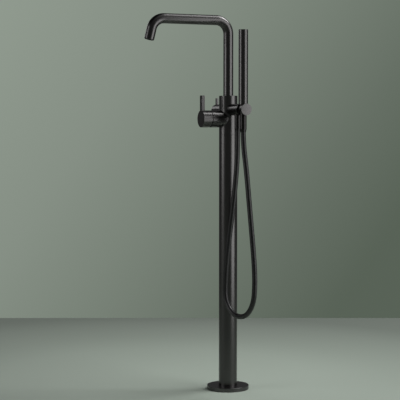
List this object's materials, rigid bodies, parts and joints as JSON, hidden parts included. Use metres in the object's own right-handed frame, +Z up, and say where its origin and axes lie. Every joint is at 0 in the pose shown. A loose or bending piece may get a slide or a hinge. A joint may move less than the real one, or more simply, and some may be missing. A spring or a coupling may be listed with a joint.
{
  "type": "floor standing bath filler",
  "caption": "Floor standing bath filler: round column on a disc flange, hooked swivel spout, joystick mixer lever, diverter knob, and a stick hand shower in a slotted holder on a looped hose.",
  "frame": {"origin": "centre of the flange's foot on the floor, on the column's axis", "axes": "+Z up the column; the spout and the mixer lever point along -X at rest, the hand shower's arm along -Y and the diverter knob along +Y"},
  "size_m": [0.3024, 0.2319, 1.0235],
  "materials": {
    "coated_metal": "satin black metallic coating",
    "steel": "plain zinc-grey steel",
    "copper": "drawn copper tube",
    "brass": "machined",
    "black_rubber": "moulded",
    "dark_plastic": "moulded matt",
    "white_plastic": "moulded matt",
    "hose_skin": "smooth satin skin"
  },
  "bodies": {
    "stand": {"flange_cover": "coated_metal", "column_tube": "coated_metal", "mixer_body": "coated_metal", "lever_sleeve": "coated_metal", "outlet_arm": "coated_metal", "handset_holder": "coated_metal", "hose_outlet_sleeve": "coated_metal", "diverter_sleeve": "coated_metal", "cartridge_nut": "coated_metal", "mounting_plate": "steel", "column_spigot": "steel", "column_clamp_screws": "steel", "spout_lock_screw": "steel", "hot_supply_pipe": "copper", "cold_supply_pipe": "copper", "hot_inlet_coupling": "brass", "cold_inlet_coupling": "brass", "arm_nipple": "brass", "diverter_cartridge": "brass", "flange_seal_ring": "black_rubber", "cartridge_seals": "black_rubber", "hose_outlet_washer": "black_rubber", "holder_liner": "dark_plastic", "swivel_bush": "dark_plastic", "cartridge_body": "white_plastic", "non_return_valve": "white_plastic", "shower_hose": "hose_skin"},
    "spout": {"spout_tube": "coated_metal", "spout_spigot": "brass", "spout_rings": "black_rubber", "aerator_housing": "coated_metal", "aerator_insert": "dark_plastic"},
    "temperature_turret": {"cartridge_turret": "white_plastic", "turret_pin": "steel"},
    "lever": {"lever_stem": "steel", "lever_cap": "coated_metal", "lever_blade": "coated_metal", "lever_set_screw": "steel"},
    "diverter": {"diverter_spindle": "brass", "diverter_knob": "coated_metal", "diverter_set_screw": "steel", "diverter_blade": "coated_metal"},
    "handset": {"handset_tube": "coated_metal", "handset_top_plug": "coated_metal", "handset_core": "white_plastic", "spray_plate": "dark_plastic", "spray_nozzles": "black_rubber", "handset_end_fitting": "brass", "hose_cone_nut": "coated_metal", "handset_washer": "black_rubber"}
  },
  "joints": [
    {"name": "spout_swivel", "type": "hinge", "parent": "stand", "child": "spout", "pos_m": [0, 0, 0.806], "axis": [0, 0, 1], "range_deg": [-60, 60]},
    {"name": "temperature_turn", "type": "hinge", "parent": "stand", "child": "temperature_turret", "pos_m": [-0.046, 0, 0.743], "axis": [1, 0, 0], "range_deg": [-45, 45]},
    {"name": "lever_tilt", "type": "hinge", "parent": "temperature_turret", "child": "lever", "pos_m": [-0.046, 0, 0.743], "axis": [0, -1, 0], "range_deg": [0, 15]},
    {"name": "diverter_turn", "type": "hinge", "parent": "stand", "child": "diverter", "pos_m": [0, 0.053, 0.7678], "axis": [0, 1, 0], "range_deg": [0, 90]},
    {"name": "handset_lift", "type": "slide", "parent": "stand", "child": "handset", "axis": [0, 0, 1], "range_m": [0, 0.06]}
  ]
}
